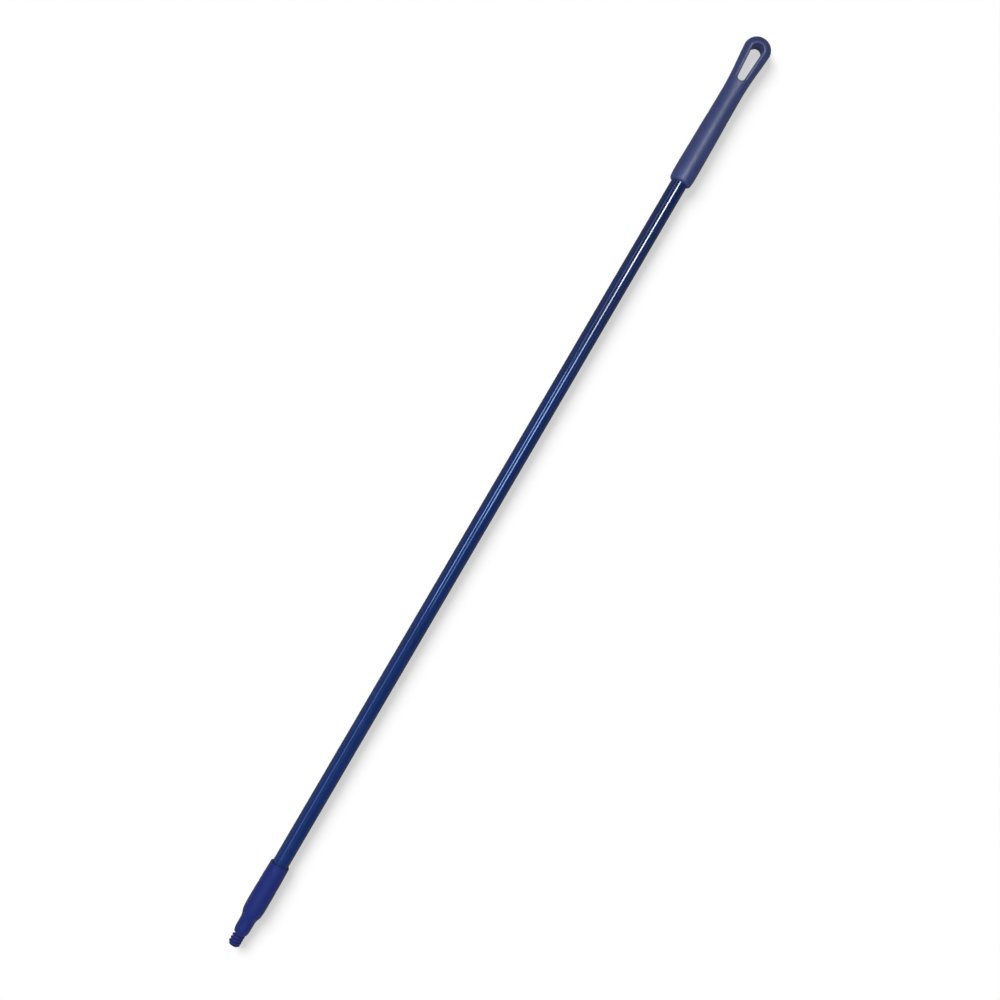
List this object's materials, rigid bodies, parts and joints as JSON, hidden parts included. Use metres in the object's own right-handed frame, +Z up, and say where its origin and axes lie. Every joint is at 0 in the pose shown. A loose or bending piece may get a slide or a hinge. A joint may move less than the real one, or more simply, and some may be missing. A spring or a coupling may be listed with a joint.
{
  "type": "threaded utility pole",
  "caption": "Straight painted tube pole with a moulded hand grip that ends in a hanging loop, and a moulded tip with a coarse male screw thread for hook, brush or mop heads.",
  "frame": {"origin": "on the surface that the pole lies on, below the middle of its length: the bottom centre of its box", "axes": "+X along the pole from the threaded tip to the hanging loop, +Y across the pole in the plane of the loop, +Z up, through the loop's hole"},
  "size_m": [1.5736, 0.0423, 0.0355],
  "materials": {
    "blue_paint": "gloss",
    "grip_plastic": "satin",
    "tip_plastic": "satin",
    "bung_plastic": "matte",
    "pin_steel": "satin"
  },
  "bodies": {
    "root": {"pole_tube": "blue_paint", "hand_grip": "grip_plastic", "threaded_tip": "tip_plastic", "tube_bung": "bung_plastic", "tip_pin": "pin_steel", "grip_pin": "pin_steel"}
  },
  "joints": []
}
